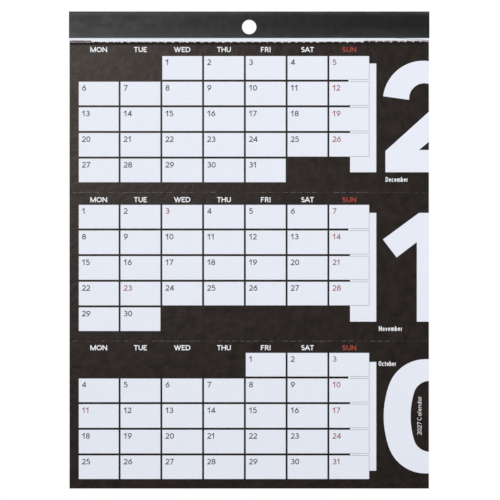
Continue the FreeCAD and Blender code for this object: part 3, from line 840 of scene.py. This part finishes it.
# Each name with its left side, how far its top lies below the perforation, and its width.
MONTH_NAMES = {
    "december": ("December", STEM_RIGHT + 5.4 * MM, 78.75 * MM, 13.1 * MM),
    "november": ("November", STEM_RIGHT + 1.5 * MM, 77.95 * MM, 13.7 * MM),
    "october": ("October", STEM_RIGHT + 1.3 * MM, 11.65 * MM, 10.4 * MM),
}


def month_names():
    """Each month's name, white, beside its large numeral."""
    shells = []
    for month, (name, left, drop, width) in MONTH_NAMES.items():
        bottom = MONTH_TOPS[month] - drop - MONTH_HEIGHT
        shells += word(name, LOWER_CASE, left, bottom, MONTH_HEIGHT, GROUND_FACE, MONTH_WEIGHT, width)
    return shells


YEAR_BASELINE = LEAF_HIGH.x - 4.3 * MM
YEAR_START = LEAF_LOW.z + 31.4 * MM
YEAR_HEIGHT = 2.45 * MM
YEAR_WEIGHT = 0.115
# The line's words, each with how far it starts after the first, its width and its letters' stretch.
YEAR_WORDS = ((str(YEAR), 0, 7.4 * MM, 1), ("Calendar", 8.35 * MM, 14.1 * MM, 1.3))


def year_line():
    """The line inside the large 0, reading upwards: the year, then a word with wider letters."""
    shells = []
    for text, after, width, stretch in YEAR_WORDS:
        shells += word(text, LOWER_CASE, YEAR_BASELINE, YEAR_START + after, YEAR_HEIGHT, GROUND_FACE,
                       YEAR_WEIGHT, width, stretch=stretch, upward=True)
    return shells


white_names, red_names = weekday_names()
black_dates, red_dates = date_figures()
add_piece("weekday_names", white_names, WHITE_LETTERS)
add_piece("sunday_names", red_names, SUNDAY_INK)
add_piece("black_dates", black_dates, FIGURE_INK)
add_piece("red_dates", red_dates, RED_INK)
add_piece("box_hairlines", outlines_over_stems(), FIGURE_INK)
add_piece("month_names", month_names(), WHITE_LETTERS)
add_piece("year_line", year_line(), WHITE_LETTERS)


# ---------------------------------------------------------------- room, lamps and camera


def add_lamp(name, place, target, size, power):
    """A square soft box at a place, turned to a target."""
    data = bpy.data.lights.new(name, "AREA")
    data.shape = "SQUARE"
    data.size = size
    data.energy = power
    lamp = bpy.data.objects.new(name, data)
    lamp.location = place
    aim = Vector(target) - Vector(place)
    lamp.rotation_euler = aim.to_track_quat("-Z", "Y").to_euler()
    bpy.context.scene.collection.objects.link(lamp)
    lamp.visible_camera = False


MIDDLE = (0, 0, (LEAF_LOW.z + STRIP_HIGH.z) / 2)
ROOM_COLOUR = (0.9, 0.95, 1, 1)
ROOM_STRENGTH = 0.46
add_lamp("soft_box_front", (-0.208, -1.397, 0.064), MIDDLE, size=0.25, power=2.45)
add_lamp("soft_box_left", (-1.1, -1.0, -0.1), MIDDLE, size=0.9, power=7.55)
add_lamp("soft_box_right", (1.1, -1.0, -0.1), MIDDLE, size=0.9, power=8.85)


def light_room():
    """A white room for the camera, for gloss and for what shines through, and a dim one for the rest."""
    world = bpy.data.worlds.new("room")
    world.use_nodes = True
    nodes, links = world.node_tree.nodes, world.node_tree.links
    nodes.clear()
    path = nodes.new("ShaderNodeLightPath")
    seen = nodes.new("ShaderNodeMath")
    seen.operation = "MAXIMUM"
    links.new(path.outputs["Is Camera Ray"], seen.inputs[0])
    links.new(path.outputs["Is Glossy Ray"], seen.inputs[1])
    seen_through = nodes.new("ShaderNodeMath")
    seen_through.operation = "MAXIMUM"
    links.new(seen.outputs[0], seen_through.inputs[0])
    links.new(path.outputs["Is Transmission Ray"], seen_through.inputs[1])
    dim = nodes.new("ShaderNodeBackground")
    dim.inputs["Color"].default_value = ROOM_COLOUR
    dim.inputs["Strength"].default_value = ROOM_STRENGTH
    white = nodes.new("ShaderNodeBackground")
    white.inputs["Color"].default_value = (1, 1, 1, 1)
    white.inputs["Strength"].default_value = 1.0
    mix = nodes.new("ShaderNodeMixShader")
    output = nodes.new("ShaderNodeOutputWorld")
    links.new(seen_through.outputs[0], mix.inputs[0])
    links.new(dim.outputs[0], mix.inputs[1])
    links.new(white.outputs[0], mix.inputs[2])
    links.new(mix.outputs[0], output.inputs["Surface"])
    bpy.context.scene.world = world


light_room()

FLOOR_DROP = 0.065
FLOOR_HALF = 0.8


def lay_floor():
    """A square pale floor, FLOOR_DROP below the foot of the leaf."""
    half = FLOOR_HALF
    level = LEAF_LOW.z - FLOOR_DROP
    mesh = bpy.data.meshes.new("floor")
    corners = [(-half, -half, level), (half, -half, level), (half, half, level), (-half, half, level)]
    mesh.from_pydata(corners, [], [(0, 1, 2, 3)])
    mesh.materials.append(printed_finish("pale_floor", (0.8, 0.8, 0.8), 0.8, 0.1, 0.01))
    floor = bpy.data.objects.new("floor", mesh)
    bpy.context.scene.collection.objects.link(floor)


lay_floor()

CAMERA_DISTANCE = 3.0
SENSOR_WIDTH = 36
VIEW_WIDTH = 0.29135
VIEW_CENTRE = (0.00047, -0.1299)
camera_data = bpy.data.cameras.new("camera")
camera_data.sensor_width = SENSOR_WIDTH
camera_data.lens = SENSOR_WIDTH * CAMERA_DISTANCE / VIEW_WIDTH
camera_data.clip_end = 20
camera = bpy.data.objects.new("camera", camera_data)
camera.location = (VIEW_CENTRE[0], PAPER_FACE - CAMERA_DISTANCE, VIEW_CENTRE[1])
camera.rotation_euler = (np.pi / 2, 0, 0)
bpy.context.scene.collection.objects.link(camera)
bpy.context.scene.camera = camera
bpy.context.scene.view_settings.view_transform = "Standard"
